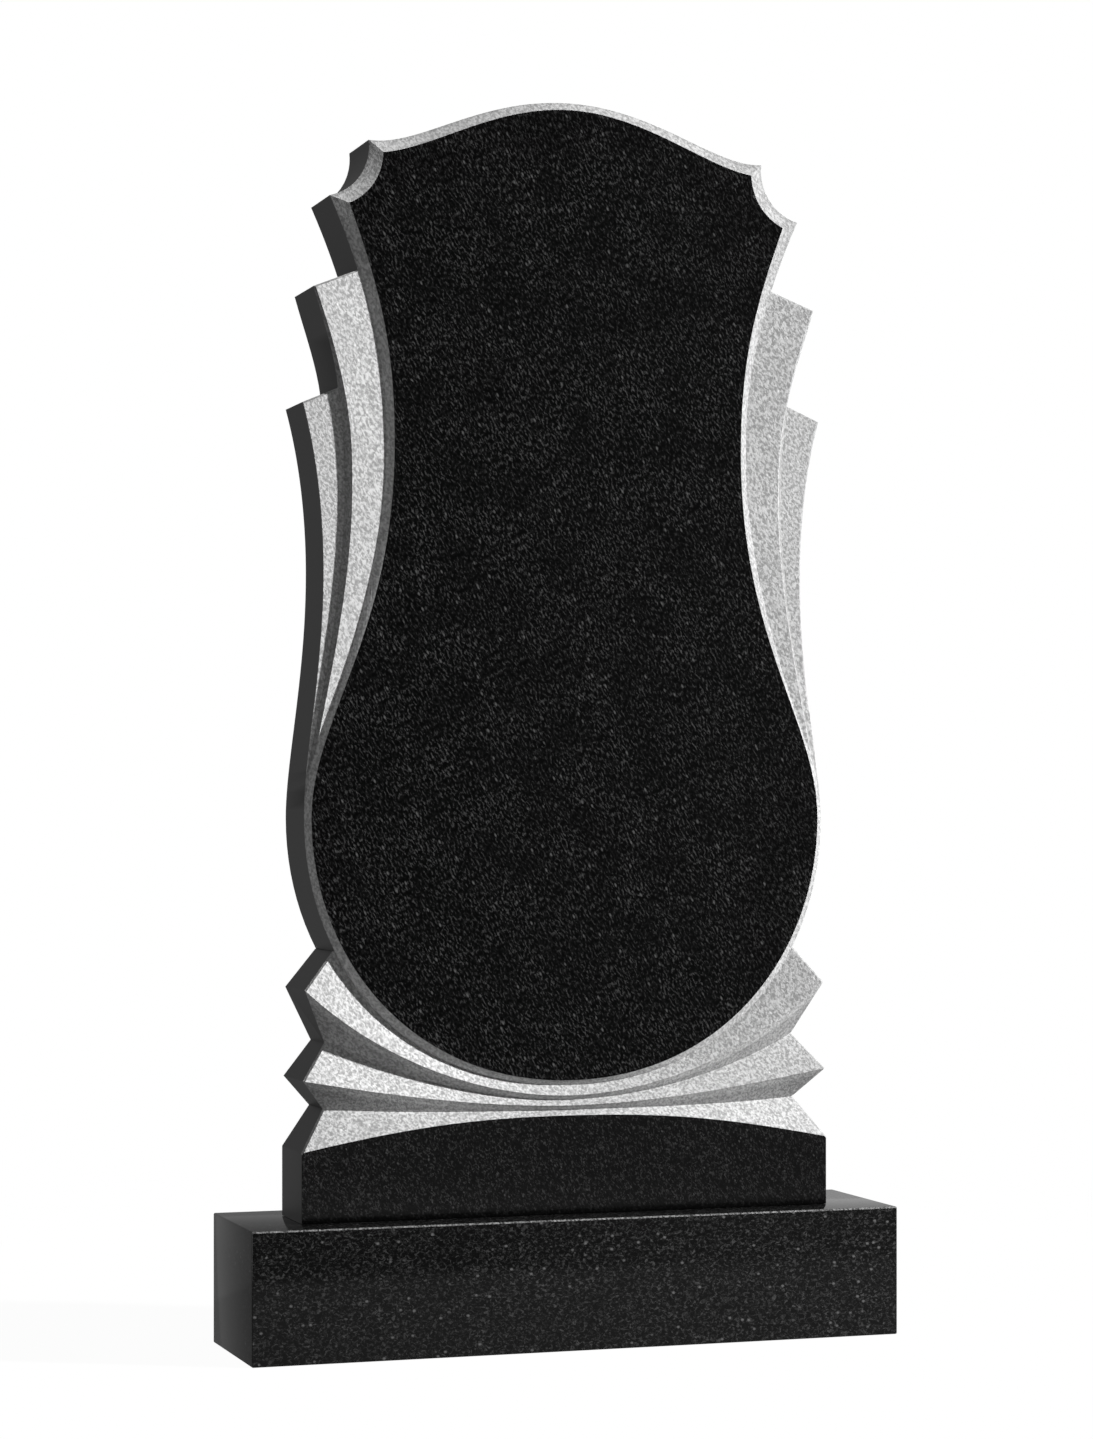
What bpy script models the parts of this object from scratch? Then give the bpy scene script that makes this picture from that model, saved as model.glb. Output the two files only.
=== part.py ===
"""A headstone: a carved black granite stele standing on a low granite plinth.

Metres, +Z up. The front faces -Y, and +X is to the reader's right. The origin
is the middle of the plinth's underside.
"""

import bmesh
import bpy
from mathutils import Vector

# Overall sizes
STELE_WIDTH = 0.498
STELE_HEIGHT = 1.000
STELE_THICKNESS = 0.072
PLINTH_WIDTH = 0.606
PLINTH_DEPTH = 0.150
PLINTH_HEIGHT = 0.117
PLINTH_ARRIS = 0.002
BED_GAP = 0.0003

# How far each carved line lies behind the polished front
CROWN_RIM_DEPTH = 0.0055
WAIST_RIM_DEPTH = 0.0046
RUNOUT_DEPTH = 0.0042
BELLY_RIM_DEPTH = 0.0050
INNER_WING_TIP_DEPTH = 0.0022
INNER_WING_SIDE_DEPTH = 0.0034
INNER_WING_EDGE_DEPTH = 0.0032
STEP_FOOT_DEPTH = 0.0096
OUTER_WING_TIP_DEPTH = 0.0098
OUTER_WING_EDGE_DEPTH = 0.0090
FIRST_GROOVE_END_DEPTH = 0.0098
FIRST_GROOVE_MIDDLE_DEPTH = 0.0058
GROOVE_END_DEPTH = 0.0220
GROOVE_MIDDLE_DEPTH = 0.0068

# How far the scoop in each shoulder is hollowed behind the line of its ends
SCOOP_RIM_HOLLOW = 0.0118
SCOOP_FIELD_HOLLOW = 0.0082
GROOVE_WALL_RUN = 0.0008

# Corners of the outline: shares of the slab's half width and of its height
CROWN_CORNER = (0.7501, 0.9556)
CROWN_CORNER_FIELD = (0.7020, 0.9444)
SHOULDER_CORNER = (0.8925, 0.9047)
SHOULDER_CORNER_FIELD = (0.8267, 0.8980)
INNER_WING_TIP = (0.9486, 0.8242)
INNER_WING_SIDE_TIP = (0.9535, 0.8237)
OUTER_WING_NOTCH = (0.8584, 0.7358)
OUTER_WING_TIP = (0.9868, 0.7222)
INNER_WING_END = (0.9446, 0.4144)
BELLY = (0.9868, 0.3560)
BELLY_FIELD = (0.9651, 0.3555)
FOLD_TIPS = ((0.9884, 0.2048), (0.9948, 0.1251), (1.0000, 0.0622))
GROOVE_ENDS = ((0.8945, 0.1568), (0.9005, 0.0983))
WAIST_FIELD = (0.6606, 0.6890)
WAIST_RIM = (0.6880, 0.6790)
INNER_WING_WAIST = (0.8123, 0.6490)
STEP_WAIST = (0.8343, 0.6490)
OUTER_WING_WAIST = (0.9122, 0.5751)

# Carved lines on the right half, top to bottom: the ends and the two handles
# of a cubic curve, then the depth at its top and at its foot
CROWN_FIELD_LINE = ((0.0, 0.9928), (0.2872, 0.9928), (0.5150, 0.9504), CROWN_CORNER_FIELD, 0.0, 0.0)
CROWN_RIM_LINE = (
    (0.0, 1.0), (0.3418, 1.0), (0.5668, 0.9511), CROWN_CORNER, CROWN_RIM_DEPTH, CROWN_RIM_DEPTH)
SHOULDER_FIELD_LINE = (SHOULDER_CORNER_FIELD, (0.7188, 0.8247), (0.6606, 0.7771), WAIST_FIELD, 0.0, 0.0)
SHOULDER_RIM_LINE = (
    SHOULDER_CORNER, (0.6750, 0.7864), (0.6880, 0.7092), WAIST_RIM, CROWN_RIM_DEPTH, WAIST_RIM_DEPTH)
HIP_FIELD_LINE = (WAIST_FIELD, (0.6606, 0.5160), (0.9651, 0.4445), BELLY_FIELD, 0.0, 0.0)
HIP_RIM_LINE = (
    WAIST_RIM, (0.6880, 0.6448), (0.7144, 0.5541), INNER_WING_END, WAIST_RIM_DEPTH, RUNOUT_DEPTH)
INNER_WING_TOP_LINE = (
    INNER_WING_TIP, (0.8199, 0.7350), (0.8123, 0.6948), INNER_WING_WAIST,
    INNER_WING_TIP_DEPTH, INNER_WING_EDGE_DEPTH)
INNER_WING_SIDE_LINE = (
    INNER_WING_SIDE_TIP, (0.9202, 0.7944), (0.8741, 0.7651), OUTER_WING_NOTCH,
    INNER_WING_SIDE_DEPTH, STEP_FOOT_DEPTH)
INNER_WING_LOW_LINE = (
    INNER_WING_WAIST, (0.8123, 0.5622), (0.9001, 0.4736), INNER_WING_END,
    INNER_WING_EDGE_DEPTH, RUNOUT_DEPTH)
STEP_TOP_LINE = (
    OUTER_WING_NOTCH, (0.8404, 0.6990), (0.8343, 0.6790), STEP_WAIST, STEP_FOOT_DEPTH, STEP_FOOT_DEPTH)
OUTER_WING_TOP_LINE = (
    OUTER_WING_TIP, (0.9214, 0.6638), (0.9122, 0.6066), OUTER_WING_WAIST,
    OUTER_WING_TIP_DEPTH, OUTER_WING_EDGE_DEPTH)
STEP_LOW_HANDLES = ((0.8343, 0.5642), (0.9025, 0.4793))
OUTER_WING_LOW_LINE = (
    OUTER_WING_WAIST, (0.9122, 0.4832), (0.9868, 0.4074), BELLY, OUTER_WING_EDGE_DEPTH, BELLY_RIM_DEPTH)
BOWL_FIELD_LINE = (BELLY_FIELD, (0.9651, 0.2329), (0.5993, 0.1200), (0.0, 0.1200), 0.0, 0.0)
BOWL_RIM_LINE = (
    BELLY, (0.9868, 0.2310), (0.6442, 0.1160), (0.0, 0.1160), BELLY_RIM_DEPTH, BELLY_RIM_DEPTH)

# The folds' lines on the right half, in the same form but from the middle outwards
FIRST_RIDGE_LINE = ((0.0, 0.1065), (0.3004, 0.1065), (0.6819, 0.1351), FOLD_TIPS[0], 0.0, 0.0)
SECOND_GROOVE_LINE = (
    (0.0, 0.1020), (0.2804, 0.1020), (0.6217, 0.1221), GROOVE_ENDS[0],
    GROOVE_MIDDLE_DEPTH, GROOVE_END_DEPTH)
SECOND_RIDGE_LINE = ((0.0, 0.0975), (0.3405, 0.0975), (0.6835, 0.1114), FOLD_TIPS[1], 0.0, 0.0)
THIRD_GROOVE_LINE = (
    (0.0, 0.0930), (0.3205, 0.0930), (0.6827, 0.0940), GROOVE_ENDS[1],
    GROOVE_MIDDLE_DEPTH, GROOVE_END_DEPTH)
THIRD_RIDGE_LINE = ((0.0, 0.0885), (0.3606, 0.0885), (0.5828, 0.0830), FOLD_TIPS[2], 0.0, 0.0)

# How long a line keeps the depth of its first end: the power of its change
DEPTH_HOLD = 2.5

# Where the lines meet each other, as shares of the way down each line
INNER_WING_START = 0.24
INNER_WING_START_ON_RIM = 0.195
OUTER_WING_START_ON_RIM = 0.62
OUTER_WING_START_ON_WING = 0.40
WING_WAIST_ON_OUTER = 0.45
OUTER_WAIST_ON_STEP = 0.30
OUTER_WAIST_ON_FIELD = 0.25
INNER_WING_END_ON_FIELD = 0.77
INNER_WING_END_ON_STEP = 0.91
INNER_WING_END_ON_OUTER = 0.70
OUTER_WING_END_ON_FIELD = 0.83
OUTER_WING_END_ON_OUTER = 0.77
FOLDS_START = 0.332

# How many faces follow each stretch of the carving
CROWN_STEPS = 26
SCOOP_STEPS = 12
SHOULDER_STEPS = 6
WING_TOP_STEPS = 9
WAIST_STEPS = 8
HIP_STEPS = 16
WING_END_STEPS = 3
BELLY_STEPS = 5
BOWL_SIDE_STEPS = 10
FOLD_STEPS = 32

# Points nearer than this are one point, and edges sharper than this stay sharp
SAME_POINT = 0.00002
SHARP_ANGLE = 0.35


def place(share_across, share_up, depth):
    """A point of the slab from its shares of the half width and height."""
    across = share_across * STELE_WIDTH / 2
    return Vector((across, depth - STELE_THICKNESS / 2, share_up * STELE_HEIGHT))


def eased(start, end, share):
    """A value that stays near start for long and then goes to end."""
    return start + (end - start) * share ** DEPTH_HOLD


def point_on(line, share):
    """The point at a share of the way along a carved line."""
    rest = 1 - share
    weights = (rest ** 3, 3 * rest ** 2 * share, 3 * rest * share ** 2, share ** 3)
    across = sum(weight * node[0] for weight, node in zip(weights, line[:4]))
    up = sum(weight * node[1] for weight, node in zip(weights, line[:4]))
    return place(across, up, eased(line[4], line[5], share))


def run(line, begin, end, steps):
    """Evenly spaced points on one stretch of a carved line."""
    return [point_on(line, begin + (end - begin) * step / steps) for step in range(steps + 1)]


def straight(start, end, steps):
    """Evenly spaced points on the straight line between two points."""
    return [start.lerp(end, step / steps) for step in range(steps + 1)]


def scoop(start, end, hollow, steps):
    """A hollow arc between two points, bowed towards the slab's middle."""
    chord = end - start
    radius = (chord.length ** 2 / 4 + hollow ** 2) / (2 * hollow)
    inward = Vector((chord.z, 0.0, -chord.x)).normalized()
    centre = (start + end) / 2 + inward * (hollow - radius)
    points = []
    for point in straight(start, end, steps):
        away = point - centre
        away.y = 0.0
        reach = away.normalized() * radius
        points.append(Vector((centre.x + reach.x, point.y, centre.z + reach.z)))
    points[0] = start
    points[-1] = end
    return points


def groove_under(rim):
    """The foot of the low wall under the panel's rim, deeper and a little further out."""
    foot = []
    for index, point in enumerate(rim):
        ahead = rim[min(index + 1, len(rim) - 1)] - rim[max(index - 1, 0)]
        outward = Vector((-ahead.z, 0.0, ahead.x)).normalized() * GROOVE_WALL_RUN
        moved = point + outward
        share = index / (len(rim) - 1)
        depth = FIRST_GROOVE_END_DEPTH + (FIRST_GROOVE_MIDDLE_DEPTH - FIRST_GROOVE_END_DEPTH) * share
        foot.append(Vector((moved.x, depth - STELE_THICKNESS / 2, moved.z)))
    foot[-1].x = 0.0
    return foot


def carved_rows():
    """The carving of the right half, as groups of rows of matching points.

    In each group the first row is the edge of the polished panel, and the rows
    after it go outwards, so that a strip of faces joins each row to the next.
    """
    step_end = point_on(OUTER_WING_LOW_LINE, OUTER_WING_END_ON_OUTER)
    step_low_line = (
        STEP_WAIST, *STEP_LOW_HANDLES,
        (step_end.x / (STELE_WIDTH / 2), step_end.z / STELE_HEIGHT),
        STEP_FOOT_DEPTH, step_end.y + STELE_THICKNESS / 2)
    groups = []
    groups.append((run(CROWN_FIELD_LINE, 0, 1, CROWN_STEPS), run(CROWN_RIM_LINE, 0, 1, CROWN_STEPS)))
    field_scoop = scoop(
        place(*CROWN_CORNER_FIELD, 0.0), place(*SHOULDER_CORNER_FIELD, 0.0),
        SCOOP_FIELD_HOLLOW, SCOOP_STEPS)
    rim_scoop = scoop(
        place(*CROWN_CORNER, CROWN_RIM_DEPTH), place(*SHOULDER_CORNER, CROWN_RIM_DEPTH),
        SCOOP_RIM_HOLLOW, SCOOP_STEPS)
    groups.append((field_scoop, rim_scoop))
    groups.append((
        run(SHOULDER_FIELD_LINE, 0, INNER_WING_START, SHOULDER_STEPS),
        run(SHOULDER_RIM_LINE, 0, INNER_WING_START_ON_RIM, SHOULDER_STEPS)))
    groups.append((
        run(SHOULDER_FIELD_LINE, INNER_WING_START, OUTER_WING_START_ON_RIM, WING_TOP_STEPS),
        run(SHOULDER_RIM_LINE, INNER_WING_START_ON_RIM, OUTER_WING_START_ON_RIM, WING_TOP_STEPS),
        run(INNER_WING_TOP_LINE, 0, OUTER_WING_START_ON_WING, WING_TOP_STEPS),
        run(INNER_WING_SIDE_LINE, 0, 1, WING_TOP_STEPS)))
    groups.append((
        run(SHOULDER_FIELD_LINE, OUTER_WING_START_ON_RIM, 1, WING_TOP_STEPS),
        run(SHOULDER_RIM_LINE, OUTER_WING_START_ON_RIM, 1, WING_TOP_STEPS),
        run(INNER_WING_TOP_LINE, OUTER_WING_START_ON_WING, 1, WING_TOP_STEPS),
        run(STEP_TOP_LINE, 0, 1, WING_TOP_STEPS),
        run(OUTER_WING_TOP_LINE, 0, WING_WAIST_ON_OUTER, WING_TOP_STEPS)))
    groups.append((
        run(HIP_FIELD_LINE, 0, OUTER_WAIST_ON_FIELD, WAIST_STEPS),
        run(HIP_RIM_LINE, 0, OUTER_WAIST_ON_STEP, WAIST_STEPS),
        run(INNER_WING_LOW_LINE, 0, OUTER_WAIST_ON_STEP, WAIST_STEPS),
        run(step_low_line, 0, OUTER_WAIST_ON_STEP, WAIST_STEPS),
        run(OUTER_WING_TOP_LINE, WING_WAIST_ON_OUTER, 1, WAIST_STEPS)))
    groups.append((
        run(HIP_FIELD_LINE, OUTER_WAIST_ON_FIELD, INNER_WING_END_ON_FIELD, HIP_STEPS),
        run(HIP_RIM_LINE, OUTER_WAIST_ON_STEP, 1, HIP_STEPS),
        run(INNER_WING_LOW_LINE, OUTER_WAIST_ON_STEP, 1, HIP_STEPS),
        run(step_low_line, OUTER_WAIST_ON_STEP, INNER_WING_END_ON_STEP, HIP_STEPS),
        run(OUTER_WING_LOW_LINE, 0, INNER_WING_END_ON_OUTER, HIP_STEPS)))
    groups.append((
        run(HIP_FIELD_LINE, INNER_WING_END_ON_FIELD, OUTER_WING_END_ON_FIELD, WING_END_STEPS),
        straight(place(*INNER_WING_END, RUNOUT_DEPTH), step_end, WING_END_STEPS),
        run(step_low_line, INNER_WING_END_ON_STEP, 1, WING_END_STEPS),
        run(OUTER_WING_LOW_LINE, INNER_WING_END_ON_OUTER, OUTER_WING_END_ON_OUTER, WING_END_STEPS)))
    groups.append((
        run(HIP_FIELD_LINE, OUTER_WING_END_ON_FIELD, 1, BELLY_STEPS),
        run(OUTER_WING_LOW_LINE, OUTER_WING_END_ON_OUTER, 1, BELLY_STEPS)))
    groups.append((
        run(BOWL_FIELD_LINE, 0, FOLDS_START, BOWL_SIDE_STEPS),
        run(BOWL_RIM_LINE, 0, FOLDS_START, BOWL_SIDE_STEPS)))
    folds_rim = run(BOWL_RIM_LINE, FOLDS_START, 1, FOLD_STEPS)
    groups.append((
        run(BOWL_FIELD_LINE, FOLDS_START, 1, FOLD_STEPS),
        folds_rim,
        groove_under(folds_rim),
        run(FIRST_RIDGE_LINE, 1, 0, FOLD_STEPS),
        run(SECOND_GROOVE_LINE, 1, 0, FOLD_STEPS),
        run(SECOND_RIDGE_LINE, 1, 0, FOLD_STEPS),
        run(THIRD_GROOVE_LINE, 1, 0, FOLD_STEPS),
        run(THIRD_RIDGE_LINE, 1, 0, FOLD_STEPS)))
    return groups


def joined(rows):
    """One row made of rows that follow each other, without repeated points."""
    points = []
    for row in rows:
        for point in row:
            if not points or (point - points[-1]).length > SAME_POINT:
                points.append(point)
    return points


def outline_of(groups):
    """The right half of the slab's front outline, from the crown to the first fold."""
    outline = []
    for group in groups:
        heads = [row[0] for row in group[1:]]
        while outline and len(heads) > 1 and (heads[0] - outline[-1]).length > SAME_POINT:
            heads.pop(0)
        outline = joined([outline, heads, group[-1]])
    return outline


def mirrored(row):
    """The same row on the left half of the slab."""
    return [Vector((-point.x, point.y, point.z)) for point in row]


def add_face(mesh, points):
    """A face through the points, left out where it has no area."""
    corners = joined([points])
    if (corners[0] - corners[-1]).length < SAME_POINT:
        corners.pop()
    if len(corners) > 2:
        mesh.faces.new([mesh.verts.new(corner) for corner in corners])


def add_strip(mesh, row, next_row):
    """The band of faces between two rows with as many points each."""
    for index in range(len(row) - 1):
        add_face(mesh, (row[index], row[index + 1], next_row[index + 1], next_row[index]))


def add_half(mesh, groups, outline):
    """The carved faces and the sawn edge of one half."""
    for group in groups:
        for row, next_row in zip(group, group[1:]):
            add_strip(mesh, row, next_row)
    add_strip(mesh, outline, at_back(outline))


def at_back(row):
    """The same row on the back of the slab."""
    return [Vector((point.x, STELE_THICKNESS / 2, point.z)) for point in row]


def add_object(name, mesh, material):
    """Links a finished mesh to the scene as an object that has one material."""
    data = bpy.data.meshes.new(name)
    mesh.to_mesh(data)
    mesh.free()
    data.materials.append(material)
    placed = bpy.data.objects.new(name, data)
    bpy.context.collection.objects.link(placed)
    return placed


def granite(name, colour, roughness):
    """A stone finish."""
    material = bpy.data.materials.new(name)
    material.use_nodes = True
    shader = material.node_tree.nodes["Principled BSDF"]
    shader.inputs["Base Color"].default_value = (*colour, 1.0)
    shader.inputs["Roughness"].default_value = roughness
    shader.inputs["Metallic"].default_value = 0.0
    return material


def build_stele(material):
    """The carved slab, standing on the plinth."""
    groups = carved_rows()
    folds = groups[-1]
    fold_ends = [row[0] for row in folds[1:]]
    base = [place(1.0, 0.0, 0.0), place(0.0, 0.0, 0.0)]
    outline = joined([outline_of(groups[:-1]), fold_ends, base])
    field = joined([group[0] for group in groups])
    base_band = folds[-1][::-1] + base

    mesh = bmesh.new()
    add_half(mesh, groups, outline)
    add_half(mesh, [[mirrored(row) for row in group] for group in groups], mirrored(outline))
    for border in (field, base_band, at_back(outline)):
        add_face(mesh, border + mirrored(border)[::-1])
    bmesh.ops.remove_doubles(mesh, verts=mesh.verts, dist=SAME_POINT)
    bmesh.ops.triangulate(mesh, faces=mesh.faces)
    bmesh.ops.recalc_face_normals(mesh, faces=mesh.faces)

    stele = add_object("stele", mesh, material)
    stele.data.shade_smooth()
    stele.data.set_sharp_from_angle(angle=SHARP_ANGLE)
    stele.location.z = PLINTH_HEIGHT + BED_GAP
    return stele


def build_plinth(material):
    """The low block under the slab, with its arrises taken off."""
    mesh = bmesh.new()
    bmesh.ops.create_cube(mesh, size=1.0)
    bmesh.ops.scale(mesh, vec=(PLINTH_WIDTH, PLINTH_DEPTH, PLINTH_HEIGHT), verts=mesh.verts)
    plinth = add_object("plinth", mesh, material)
    plinth.location.z = PLINTH_HEIGHT / 2
    arris = plinth.modifiers.new("arris", "BEVEL")
    arris.width = PLINTH_ARRIS
    arris.segments = 1
    return plinth


for old in list(bpy.data.objects):
    bpy.data.objects.remove(old)

build_stele(granite("carved granite", (0.055, 0.055, 0.055), 0.35))
build_plinth(granite("polished granite", (0.020, 0.020, 0.020), 0.15))
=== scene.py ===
"""How the headstone looks: a carved black granite stele on a low granite plinth.

The front faces -Y and +X is to the reader's right, in metres.
"""

import math

import bmesh
import bpy
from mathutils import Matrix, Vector


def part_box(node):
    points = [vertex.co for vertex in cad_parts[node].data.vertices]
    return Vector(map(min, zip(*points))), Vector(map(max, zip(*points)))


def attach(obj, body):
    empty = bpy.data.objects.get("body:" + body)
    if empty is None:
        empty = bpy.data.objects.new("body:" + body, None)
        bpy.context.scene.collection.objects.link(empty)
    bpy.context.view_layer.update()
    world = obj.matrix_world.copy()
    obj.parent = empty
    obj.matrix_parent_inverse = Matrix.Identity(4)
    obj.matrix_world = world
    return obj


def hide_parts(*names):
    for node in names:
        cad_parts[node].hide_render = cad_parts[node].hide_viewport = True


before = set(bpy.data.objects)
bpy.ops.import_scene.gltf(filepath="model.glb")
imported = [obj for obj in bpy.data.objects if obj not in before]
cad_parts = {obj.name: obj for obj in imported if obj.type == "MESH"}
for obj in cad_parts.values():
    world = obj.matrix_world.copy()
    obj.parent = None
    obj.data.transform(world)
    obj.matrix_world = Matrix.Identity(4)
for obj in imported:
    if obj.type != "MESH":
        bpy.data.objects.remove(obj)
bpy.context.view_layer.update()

# The stele: one slab of black granite, about seven centimetres thick. The
# panel and the foot band are polished black. The carving round them isn't
# polished, which leaves the same stone pale and mottled.

FRONT_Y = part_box("stele")[0].y
FOOT_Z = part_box("stele")[0].z
FOLDS_FOOT = FOOT_Z + 0.09
FOLDS_TOP = FOOT_Z + 0.21
WIDE_ARRIS_FOOT = FOOT_Z + 0.45
FOOT_SHADE_TOP = FOOT_Z + 0.010
DEEP_WALL_START = FRONT_Y + 0.0035
DEEP_WALL_END = FRONT_Y + 0.0065
GROOVE_START = FRONT_Y + 0.0010
WELD = 0.00002
WIDE_ARRIS = 0.0016
FINE_ARRIS = 0.0003
SHORTEST_TOP = 0.02
CREASE = math.radians(6.5)
WIDE_CREASE = math.radians(22)


def feed(tree, socket, value):
    """Gives a socket a fixed value or another node's output."""
    if isinstance(value, bpy.types.NodeSocket):
        tree.links.new(value, socket)
    else:
        socket.default_value = value


def add_node(tree, kind, settings=None, **inputs):
    """A shader node with its settings and what feeds its inputs."""
    node = tree.nodes.new(kind)
    for name, value in (settings or {}).items():
        setattr(node, name, value)
    for name, value in inputs.items():
        feed(tree, node.inputs[name.replace("_", " ")], value)
    return node


def new_group(name, inputs, outputs):
    """An empty node group; inputs and outputs are rows of name, kind and starting value."""
    tree = bpy.data.node_groups.new(name, "ShaderNodeTree")
    for side, rows in (("INPUT", inputs), ("OUTPUT", outputs)):
        for label, kind, value in rows:
            socket = tree.interface.new_socket(label, in_out=side, socket_type=kind)
            if value is not None:
                socket.default_value = value
    return tree, tree.nodes.new("NodeGroupInput"), tree.nodes.new("NodeGroupOutput")


def ranged(tree, value, low, high, start=0.0, end=1.0):
    """Spreads the values between low and high smoothly over start to end."""
    node = add_node(
        tree, "ShaderNodeMapRange", {"interpolation_type": "SMOOTHSTEP"}, Value=value, From_Min=low,
        From_Max=high, To_Min=start, To_Max=end)
    return node.outputs["Result"]


def maths(tree, operation, first, second):
    """One sum, product or comparison of two values."""
    node = add_node(tree, "ShaderNodeMath", {"operation": operation})
    feed(tree, node.inputs[0], first)
    feed(tree, node.inputs[1], second)
    return node.outputs[0]


def blended(tree, share, first, second):
    """A colour between two colours."""
    node = add_node(tree, "ShaderNodeMix", {"data_type": "RGBA"})
    feed(tree, node.inputs[0], share)
    feed(tree, node.inputs[6], first)
    feed(tree, node.inputs[7], second)
    return node.outputs[2]


def grey(value):
    """A neutral colour, as the stone has."""
    return (value, value, value, 1.0)


GRAIN_SPREAD = (0.42, 0.78)
GRAIN_SPARSENESS = 1.5
MOTTLE_SPREAD = (0.30, 0.70)
FLECK_CELLS = 0.55
FLECK_RIM_TO_CORE = (0.36, 0.06)
DIMMEST_FLECK = 0.2
CLOUDS_PER_METRE = 24.0
CLOUD_SPREAD = (0.32, 0.68)
FINE_CELLS = 2.4
FINE_SPREAD = (0.3, 0.7)


def build_crystals():
    """The stone's crystals, from 0 to 1: dense grains, sparse flecks, slow clouds and fine dust."""
    tree, ends, out = new_group(
        "stone crystals",
        (
            ("Grain Size", "NodeSocketVector", (0.002, 0.002, 0.005)),
            ("Grain Turn", "NodeSocketVector", (0.0, 0.0, 0.0)),
            ("Swirl", "NodeSocketFloat", 0.3),
            ("Fleck Share", "NodeSocketFloat", 0.1),
        ),
        (
            ("Grain", "NodeSocketFloat", None),
            ("Mottle", "NodeSocketFloat", None),
            ("Fleck", "NodeSocketFloat", None),
            ("Cloud", "NodeSocketFloat", None),
            ("Fine", "NodeSocketFloat", None),
        ),
    )
    place = tree.nodes.new("ShaderNodeTexCoord").outputs["Object"]
    turned = add_node(tree, "ShaderNodeMapping", {"vector_type": "TEXTURE"}, Vector=place)
    feed(tree, turned.inputs["Rotation"], ends.outputs["Grain Turn"])
    feed(tree, turned.inputs["Scale"], ends.outputs["Grain Size"])
    grid = turned.outputs["Vector"]

    grain = add_node(
        tree, "ShaderNodeTexNoise", Vector=grid, Scale=1.0, Detail=3.0, Roughness=0.62,
        Distortion=ends.outputs["Swirl"])
    sparse = maths(tree, "POWER", ranged(tree, grain.outputs[0], *GRAIN_SPREAD), GRAIN_SPARSENESS)
    feed(tree, out.inputs["Grain"], sparse)

    blobs = add_node(
        tree, "ShaderNodeTexNoise", Vector=grid, Scale=1.0, Detail=1.0, Roughness=0.5,
        Distortion=ends.outputs["Swirl"])
    feed(tree, out.inputs["Mottle"], ranged(tree, blobs.outputs[0], *MOTTLE_SPREAD))

    cells = add_node(tree, "ShaderNodeTexVoronoi", Vector=grid, Scale=FLECK_CELLS, Randomness=1.0)
    chosen = tree.nodes.new("ShaderNodeSeparateColor")
    feed(tree, chosen.inputs[0], cells.outputs["Color"])
    kept = maths(tree, "LESS_THAN", chosen.outputs[0], ends.outputs["Fleck Share"])
    core = ranged(tree, cells.outputs["Distance"], *FLECK_RIM_TO_CORE)
    strength = ranged(tree, chosen.outputs[1], 0.0, 1.0, DIMMEST_FLECK, 1.0)
    fleck = maths(tree, "MULTIPLY", maths(tree, "MULTIPLY", kept, core), strength)
    feed(tree, out.inputs["Fleck"], fleck)

    cloud = add_node(
        tree, "ShaderNodeTexNoise", Vector=place, Scale=CLOUDS_PER_METRE, Detail=4.0, Roughness=0.6)
    feed(tree, out.inputs["Cloud"], ranged(tree, cloud.outputs[0], *CLOUD_SPREAD))

    fine = add_node(
        tree, "ShaderNodeTexNoise", Vector=grid, Scale=FINE_CELLS, Detail=1.0, Roughness=0.5)
    feed(tree, out.inputs["Fine"], ranged(tree, fine.outputs[0], *FINE_SPREAD))
    return tree


def build_shade():
    """Painted shade along a line: how much of a finish's colour is kept, from its start to its end."""
    tree, ends, out = new_group(
        "shade along a line",
        (
            ("Line", "NodeSocketVector", (0.0, 0.0, 1.0)),
            ("Start", "NodeSocketFloat", 0.0),
            ("End", "NodeSocketFloat", 0.01),
            ("Light At Start", "NodeSocketFloat", 0.5),
            ("Light At End", "NodeSocketFloat", 1.0),
        ),
        (("Light", "NodeSocketFloat", None),),
    )
    along = add_node(tree, "ShaderNodeVectorMath", {"operation": "DOT_PRODUCT"})
    feed(tree, along.inputs[0], tree.nodes.new("ShaderNodeTexCoord").outputs["Object"])
    feed(tree, along.inputs[1], ends.outputs["Line"])
    light = ranged(
        tree, along.outputs["Value"], ends.outputs["Start"], ends.outputs["End"],
        ends.outputs["Light At Start"], ends.outputs["Light At End"])
    feed(tree, out.inputs["Light"], light)
    return tree


crystals = build_crystals()
shade = build_shade()


def stone_material(name, grain_size, grain_turn, swirl, fleck_share):
    """A new material with its crystals and its shader."""
    material = bpy.data.materials.new(name)
    material.use_nodes = True
    tree = material.node_tree
    stone = add_node(
        tree, "ShaderNodeGroup", {"node_tree": crystals}, Grain_Size=grain_size, Grain_Turn=grain_turn,
        Swirl=swirl, Fleck_Share=fleck_share)
    return material, tree, stone, tree.nodes["Principled BSDF"]


GRAIN_DULLNESS = 0.05


def polished_granite(
        name, grain_size, grain_turn, swirl, fleck_share, tones, roughness=0.10, gloss=0.5,
        thinnest=0.85):
    """Polished black stone. Its tones are those of its matrix, its grains and its flecks, and
    thinnest is how much of the grains is left where they are sparsest."""
    material, tree, stone, shader = stone_material(name, grain_size, grain_turn, swirl, fleck_share)
    matrix, grains, flecks = tones
    density = ranged(tree, stone.outputs["Cloud"], 0.0, 1.0, thinnest, 1.0)
    thinned = maths(tree, "MULTIPLY", stone.outputs["Grain"], density)
    body = blended(tree, thinned, grey(matrix), grey(grains))
    tinted = blended(tree, stone.outputs["Fleck"], body, grey(flecks))
    feed(tree, shader.inputs["Base Color"], tinted)
    duller = ranged(tree, stone.outputs["Grain"], 0.0, 1.0, roughness, roughness + GRAIN_DULLNESS)
    feed(tree, shader.inputs["Roughness"], duller)
    shader.inputs["Specular IOR Level"].default_value = gloss
    return material


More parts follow.
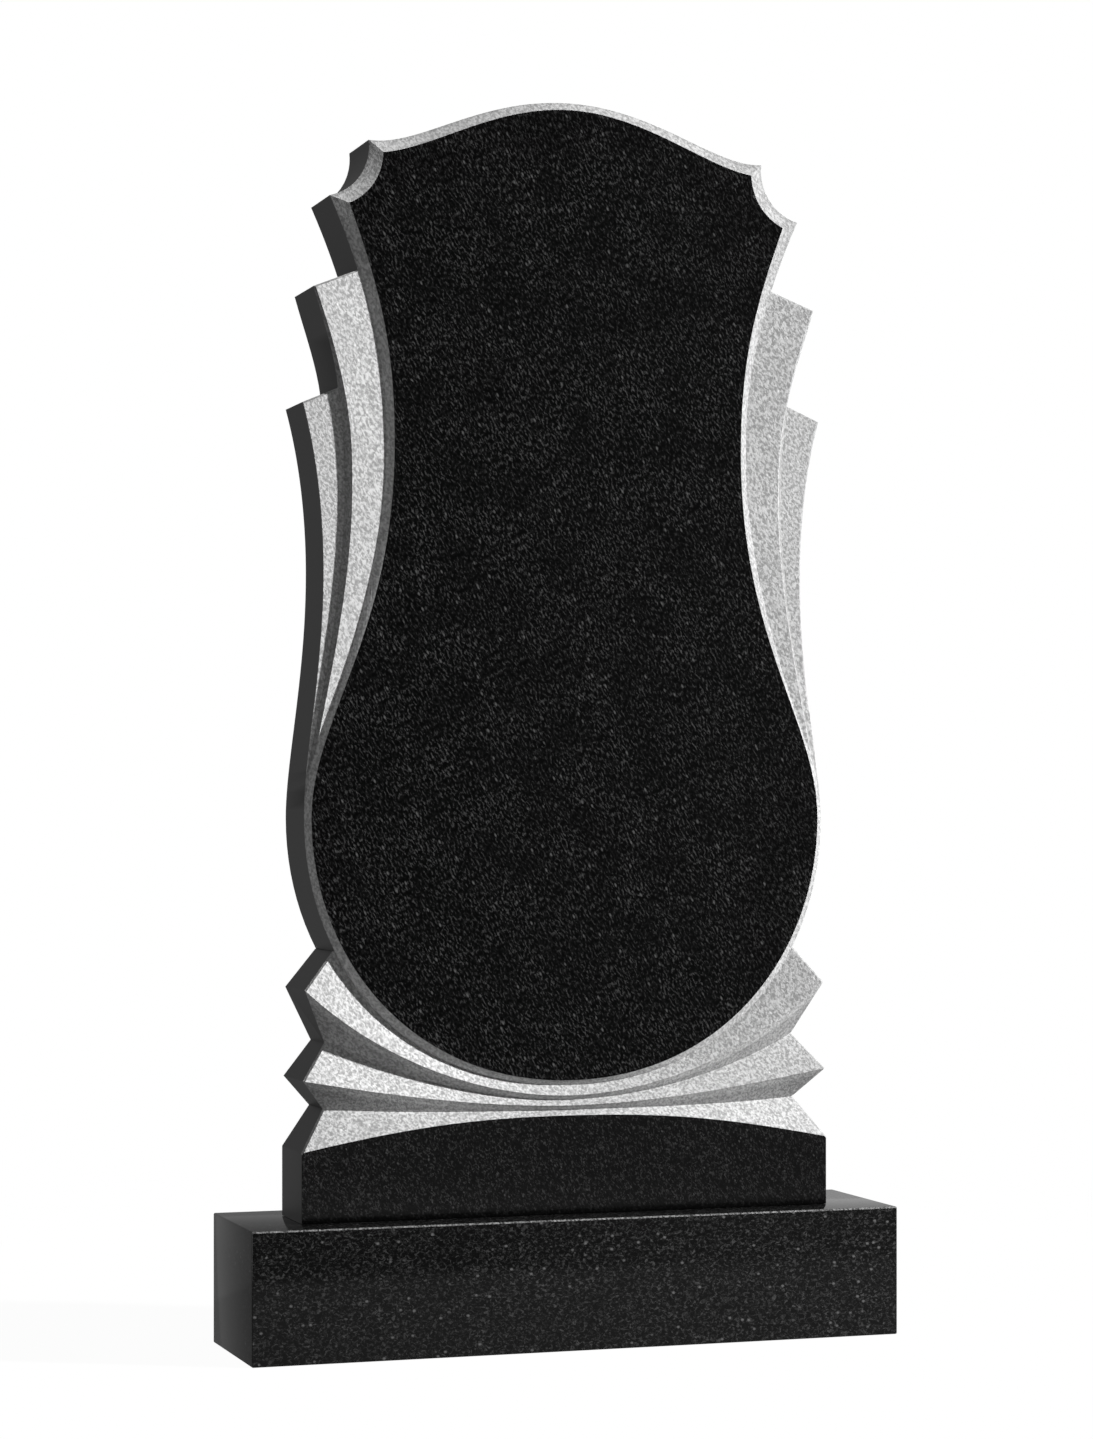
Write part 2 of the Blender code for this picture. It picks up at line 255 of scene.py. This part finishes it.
TOOLED_GRAIN_SIZE = (0.0022, 0.0022, 0.0032)
TOOLED_GRAIN_TURN = (0.0, math.radians(-30), 0.0)
CLOUD_SHARE = 0.16
FLECK_LIFT = 1.25
LIGHTEST_FLECK = 0.95
FINE_TOOTH = 0.4


def tooled_granite(name, dark, light, relief):
    """Ground stone: pale, matt and mottled, with a fine tooth to the touch."""
    material, tree, stone, shader = stone_material(
        name, TOOLED_GRAIN_SIZE, TOOLED_GRAIN_TURN, swirl=0.5, fleck_share=0.10)
    grains = blended(tree, stone.outputs["Mottle"], grey(dark), grey(light))
    cloudiness = ranged(tree, stone.outputs["Cloud"], 0.0, 1.0, 0.0, CLOUD_SHARE)
    clouded = blended(tree, cloudiness, grains, grey(dark))
    fleck_tone = grey(min(LIGHTEST_FLECK, light * FLECK_LIFT))
    tinted = blended(tree, stone.outputs["Fleck"], clouded, fleck_tone)
    feed(tree, shader.inputs["Base Color"], tinted)
    shader.inputs["Roughness"].default_value = 0.9
    shader.inputs["Specular IOR Level"].default_value = 0.2
    fine = maths(tree, "MULTIPLY", stone.outputs["Fine"], FINE_TOOTH)
    tooth = maths(tree, "ADD", stone.outputs["Mottle"], fine)
    bump = add_node(tree, "ShaderNodeBump", Strength=1.0, Distance=relief, Height=tooth)
    feed(tree, shader.inputs["Normal"], bump.outputs["Normal"])
    return material


def darken_along(material, line, start, end, light_at_start, light_at_end):
    """Darkens a finish towards one end of a line, as painted shade."""
    tree = material.node_tree
    colour = tree.nodes["Principled BSDF"].inputs["Base Color"]
    light = add_node(
        tree, "ShaderNodeGroup", {"node_tree": shade}, Line=line, Start=start, End=end,
        Light_At_Start=light_at_start, Light_At_End=light_at_end)
    feed(tree, colour, blended(tree, light.outputs["Light"], grey(0.0), colour.links[0].from_socket))


SLANT = (0.0, math.radians(-28), 0.0)
panel_finish = polished_granite(
    "polished black granite", grain_size=(0.0019, 0.0019, 0.0042), grain_turn=SLANT, swirl=0.3,
    fleck_share=0.10, tones=(0.0006, 0.088, 0.130), thinnest=0.5)

# The foot band darkens in its lowest centimetre. That stands for shade that the
# photo shows and the two lamps don't give, and isn't a difference in the stone.
foot_finish = polished_granite(
    "polished granite foot", grain_size=(0.0016, 0.0016, 0.0026), grain_turn=SLANT, swirl=0.5,
    fleck_share=0.05, tones=(0.0044, 0.050, 0.070))
darken_along(foot_finish, (0.0, 0.0, 1.0), FOOT_Z, FOOT_SHADE_TOP, light_at_start=0.1, light_at_end=1.0)

# The steep walls of the carving are darker than the faces between them, more so
# deep in the cuts, and the wall outside the inner wing on the reader's left is
# the darkest. This stands for shade in the photo as well.
tooled_finish = tooled_granite("tooled granite", dark=0.33, light=0.72, relief=0.00012)
shaded_wall_finish = tooled_granite("tooled granite in painted wall shade", dark=0.31, light=0.60, relief=0.00010)
darken_along(
    shaded_wall_finish, (0.0, 1.0, 0.0), DEEP_WALL_START, DEEP_WALL_END, light_at_start=1.0,
    light_at_end=0.72)
groove_shade_finish = tooled_granite("groove wall in painted shade", dark=0.19, light=0.37, relief=0.00010)

edge_finish = polished_granite(
    "honed granite edge", grain_size=(0.0016, 0.0016, 0.0022), grain_turn=SLANT, swirl=0.3,
    fleck_share=0.02, tones=(0.030, 0.036, 0.06), roughness=0.40)
back_finish = polished_granite(
    "sawn granite back", grain_size=(0.0020, 0.0020, 0.0030), grain_turn=SLANT, swirl=0.3,
    fleck_share=0.12, tones=(0.030, 0.060, 0.16), roughness=0.55, gloss=0.4)
arris_finish = tooled_granite("ground arris", dark=0.28, light=0.50, relief=0.00010)

STELE_FINISHES = (
    panel_finish, foot_finish, tooled_finish, shaded_wall_finish, groove_shade_finish, edge_finish, back_finish,
    arris_finish)
PANEL, FOOT, TOOLED, SHADED_WALL, GROOVE_SHADE, EDGE, BACK, ARRIS = range(len(STELE_FINISHES))

# How a face's normal leans: towards the back, straight sideways, or towards the front.
TO_THE_BACK = 0.9
SIDEWAYS = 0.02
STRAIGHT_FRONT = -0.9999
NEARLY_FRONT = -0.94
OUTWARDS = 0.5


def surface_of(face):
    """Which finish a face of the slab has, with darker copies of the tooled one as painted shade."""
    if face.normal.y > TO_THE_BACK:
        return BACK
    if abs(face.normal.y) < SIDEWAYS:
        return EDGE
    middle = face.calc_center_median()
    if face.normal.y < STRAIGHT_FRONT and abs(middle.y - FRONT_Y) < WELD:
        return FOOT if middle.z < FOLDS_FOOT else PANEL
    upper_side_of_fold = middle.z < FOLDS_TOP and face.normal.z > 0.0
    if face.normal.y < NEARLY_FRONT or upper_side_of_fold:
        return TOOLED
    # Every other face, mostly steep walls and the undersides of the folds, takes a darker copy of the
    # tooled finish: painted shade.
    nearest = min(vert.co.y for vert in face.verts)
    # A wall that faces left (-X) above the folds, a millimetre or more below the front, takes the
    # darkest copy: painted shade.
    shaded_beside_wing = face.normal.x < 0.0 and middle.z > FOLDS_TOP and nearest > GROOVE_START
    return GROOVE_SHADE if shaded_beside_wing else SHADED_WALL


def kinds(edge):
    """The finishes that meet at an edge."""
    return {face.material_index for face in edge.link_faces}


def is_ground_wide(edge):
    """Whether an edge is ground wide: along the top of a wing or a fold, or down the right of
    the outer wing on the reader's right."""
    if kinds(edge) != {EDGE, TOOLED}:
        return False
    outward = next(face.normal for face in edge.link_faces if face.material_index == EDGE)
    at_right = outward.x > OUTWARDS and min(vert.co.z for vert in edge.verts) > WIDE_ARRIS_FOOT
    at_top = outward.z > OUTWARDS and edge.calc_length() > SHORTEST_TOP
    return at_right or at_top


def take_off_arris(mesh, edges, width, finish):
    """Grinds a narrow flat along the edges."""
    made = bmesh.ops.bevel(
        mesh, geom=edges, offset=width, offset_type="OFFSET", segments=1, profile=0.5,
        affect="EDGES", clamp_overlap=False, loop_slide=True)
    for face in made["faces"]:
        face.material_index = finish


def mark_creases(mesh):
    """Keeps the carved lines sharp and lets the shading run on over slight turns."""
    for edge in mesh.edges:
        crease = CREASE if kinds(edge) == {TOOLED} else WIDE_CREASE
        edge.smooth = edge.calc_face_angle(math.pi) < crease


def build_stele():
    """The slab in its finishes, with its arrises taken off."""
    mesh = bmesh.new()
    mesh.from_mesh(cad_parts["stele"].data)
    bmesh.ops.remove_doubles(mesh, verts=mesh.verts, dist=WELD)
    mesh.normal_update()
    for face in mesh.faces:
        face.material_index = surface_of(face)

    outline = [edge for edge in mesh.edges if EDGE in kinds(edge) and len(kinds(edge)) == 2]
    take_off_arris(mesh, [edge for edge in outline if is_ground_wide(edge)], WIDE_ARRIS, ARRIS)
    for finish in (TOOLED, SHADED_WALL, GROOVE_SHADE, PANEL, FOOT, BACK):
        beside = [edge for edge in mesh.edges if kinds(edge) == {EDGE, finish}]
        take_off_arris(mesh, beside, FINE_ARRIS, finish)
    mark_creases(mesh)

    data = bpy.data.meshes.new("stele_stone")
    mesh.to_mesh(data)
    mesh.free()
    data.attributes.remove(data.attributes["custom_normal"])
    for finish in STELE_FINISHES:
        data.materials.append(finish)
    stele = bpy.data.objects.new("stele_stone", data)
    bpy.context.collection.objects.link(stele)
    data.shade_smooth()
    return stele


stele_stone = build_stele()
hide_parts("stele")
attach(stele_stone, "root")

# The plinth: a low block of the same granite, polished all over, with its
# arrises ground off so that they don't chip. The stele stands on it, bedded in
# a thin joint.

PLINTH_ARRIS_WIDTH = 0.0014
PLINTH_CREASE = math.radians(35)
plinth_low, plinth_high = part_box("plinth")
plinth_finish = polished_granite(
    "polished plinth granite", grain_size=(0.0034, 0.0034, 0.0027),
    grain_turn=(0.0, math.radians(4), 0.0), swirl=1.0, fleck_share=0.12, tones=(0.0036, 0.078, 0.130))
# The pale ground arris along the top of the front is partly real ground stone and partly a painted
# highlight.
plinth_arris_highlight = tooled_granite("ground plinth arris with painted highlight", dark=0.03, light=0.30, relief=0.00010)


def build_plinth():
    """The block with its arrises ground off; the one at the top of the front is pale ground stone, in
    part a painted highlight.
    """
    mesh = bmesh.new()
    bmesh.ops.create_cube(mesh, size=1.0)
    bmesh.ops.scale(mesh, vec=plinth_high - plinth_low, verts=mesh.verts)
    bmesh.ops.translate(mesh, vec=(plinth_high + plinth_low) / 2, verts=mesh.verts)
    made = bmesh.ops.bevel(
        mesh, geom=mesh.edges[:], offset=PLINTH_ARRIS_WIDTH, offset_type="OFFSET", segments=3,
        profile=0.5, affect="EDGES")
    for face in made["faces"]:
        middle = face.calc_center_median()
        at_front = middle.y < plinth_low.y + PLINTH_ARRIS_WIDTH
        at_top = middle.z > plinth_high.z - PLINTH_ARRIS_WIDTH
        face.material_index = int(at_front and at_top)
    data = bpy.data.meshes.new("plinth_stone")
    mesh.to_mesh(data)
    mesh.free()
    data.materials.append(plinth_finish)
    data.materials.append(plinth_arris_highlight)
    plinth = bpy.data.objects.new("plinth_stone", data)
    bpy.context.collection.objects.link(plinth)
    data.shade_smooth()
    data.set_sharp_from_angle(angle=PLINTH_CREASE)
    return plinth


plinth_stone = build_plinth()
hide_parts("plinth")
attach(plinth_stone, "root")

# The studio: a round pale floor that fades into a white surround, a strong
# lamp from the reader's right and a little above, a weak broad one from the
# left, and dim soft light all round.

FLOOR_RADIUS = 1.6
FLOOR_SOLID_TO = 0.75
FLOOR_GONE_BY = 1.5
FLOOR_TONE = 0.04
FLOOR_SEEN = 0.97
FLOOR_MIRRORED = 0.15
FLOOR_UNDERLIGHT = 0.22


def build_floor():
    """A disc that looks white, lights the stone a little from below, and mirrors darker in it."""
    mesh = bmesh.new()
    bmesh.ops.create_circle(mesh, cap_ends=True, segments=96, radius=FLOOR_RADIUS)
    data = bpy.data.meshes.new("floor")
    mesh.to_mesh(data)
    mesh.free()
    material = bpy.data.materials.new("pale floor")
    material.use_nodes = True
    tree = material.node_tree
    shader = tree.nodes["Principled BSDF"]
    shader.inputs["Base Color"].default_value = grey(FLOOR_TONE)
    shader.inputs["Roughness"].default_value = 0.9
    shader.inputs["Specular IOR Level"].default_value = 0.0
    shader.inputs["Emission Color"].default_value = grey(1.0)
    ray = tree.nodes.new("ShaderNodeLightPath")
    unseen = ranged(tree, ray.outputs["Is Glossy Ray"], 0.0, 1.0, FLOOR_UNDERLIGHT, FLOOR_MIRRORED)
    seen = maths(tree, "MULTIPLY", ray.outputs["Is Camera Ray"], FLOOR_SEEN)
    feed(tree, shader.inputs["Emission Strength"], maths(tree, "MAXIMUM", seen, unseen))
    place = tree.nodes.new("ShaderNodeTexCoord").outputs["Object"]
    reach = add_node(tree, "ShaderNodeVectorMath", {"operation": "LENGTH"}, Vector=place)
    fade = ranged(tree, reach.outputs["Value"], FLOOR_GONE_BY, FLOOR_SOLID_TO)
    feed(tree, shader.inputs["Alpha"], fade)
    data.materials.append(material)
    floor = bpy.data.objects.new("floor", data)
    bpy.context.collection.objects.link(floor)
    return floor


build_floor()

MIRRORED_LEFT = 0.20
MIRRORED_RIGHT = 0.50
LEFT_TO_RIGHT = (0.20, 0.46)
FRONT_SHARE = 0.17
FRONT_TO_BEHIND = (-0.2, 0.2)
SOFT_LIGHT = 0.08


def build_world():
    """White where the camera sees it, dim as a fill, and in reflections dark in front of the
    stone and brighter behind it and to the right."""
    world = bpy.data.worlds.new("studio")
    world.use_nodes = True
    tree = world.node_tree
    tree.nodes.clear()
    ray = tree.nodes.new("ShaderNodeLightPath")
    towards = tree.nodes.new("ShaderNodeSeparateXYZ")
    feed(tree, towards.inputs[0], tree.nodes.new("ShaderNodeTexCoord").outputs["Generated"])
    sideways = ranged(tree, towards.outputs["X"], *LEFT_TO_RIGHT, MIRRORED_LEFT, MIRRORED_RIGHT)
    depthways = ranged(tree, towards.outputs["Y"], *FRONT_TO_BEHIND, FRONT_SHARE, 1.0)
    mirrored = maths(tree, "MULTIPLY", sideways, depthways)
    in_gloss = maths(tree, "MULTIPLY", ray.outputs["Is Glossy Ray"], mirrored)
    in_shade = maths(tree, "MULTIPLY", ray.outputs["Is Diffuse Ray"], SOFT_LIGHT)
    unseen = maths(tree, "ADD", in_gloss, in_shade)
    strength = maths(tree, "MAXIMUM", ray.outputs["Is Camera Ray"], unseen)
    background = add_node(tree, "ShaderNodeBackground", Color=grey(1.0), Strength=strength)
    feed(tree, tree.nodes.new("ShaderNodeOutputWorld").inputs["Surface"], background.outputs[0])
    return world


bpy.context.scene.world = build_world()

LAMP_DISTANCE = 4.0


def add_lamp(name, azimuth, elevation, strength, softness):
    """A distant lamp; azimuth 0 is in front of the panel and 90 is at the reader's right."""
    lamp = bpy.data.lights.new(name, "SUN")
    lamp.energy = strength
    lamp.angle = math.radians(softness)
    placed = bpy.data.objects.new(name, lamp)
    across, up = math.radians(azimuth), math.radians(elevation)
    towards = Vector((math.sin(across) * math.cos(up), -math.cos(across) * math.cos(up), math.sin(up)))
    placed.rotation_euler = towards.to_track_quat("Z", "Y").to_euler()
    placed.location = towards * LAMP_DISTANCE
    bpy.context.collection.objects.link(placed)


add_lamp("key", azimuth=62.0, elevation=20.0, strength=6.2, softness=3.0)
add_lamp("fill", azimuth=-62.0, elevation=10.0, strength=0.34, softness=30.0)

CAMERA_PLACE = (-0.978, -2.911, 0.477)
CAMERA_TURN = (math.radians(90), 0.0, math.radians(-18.375))
camera = bpy.data.cameras.new("camera")
camera.lens = 84.44
camera.sensor_width = 36.0
camera.shift_y = 0.0656
camera_placed = bpy.data.objects.new("camera", camera)
camera_placed.location = CAMERA_PLACE
camera_placed.rotation_euler = CAMERA_TURN
bpy.context.collection.objects.link(camera_placed)
bpy.context.scene.camera = camera_placed
bpy.context.scene.view_settings.view_transform = "Standard"
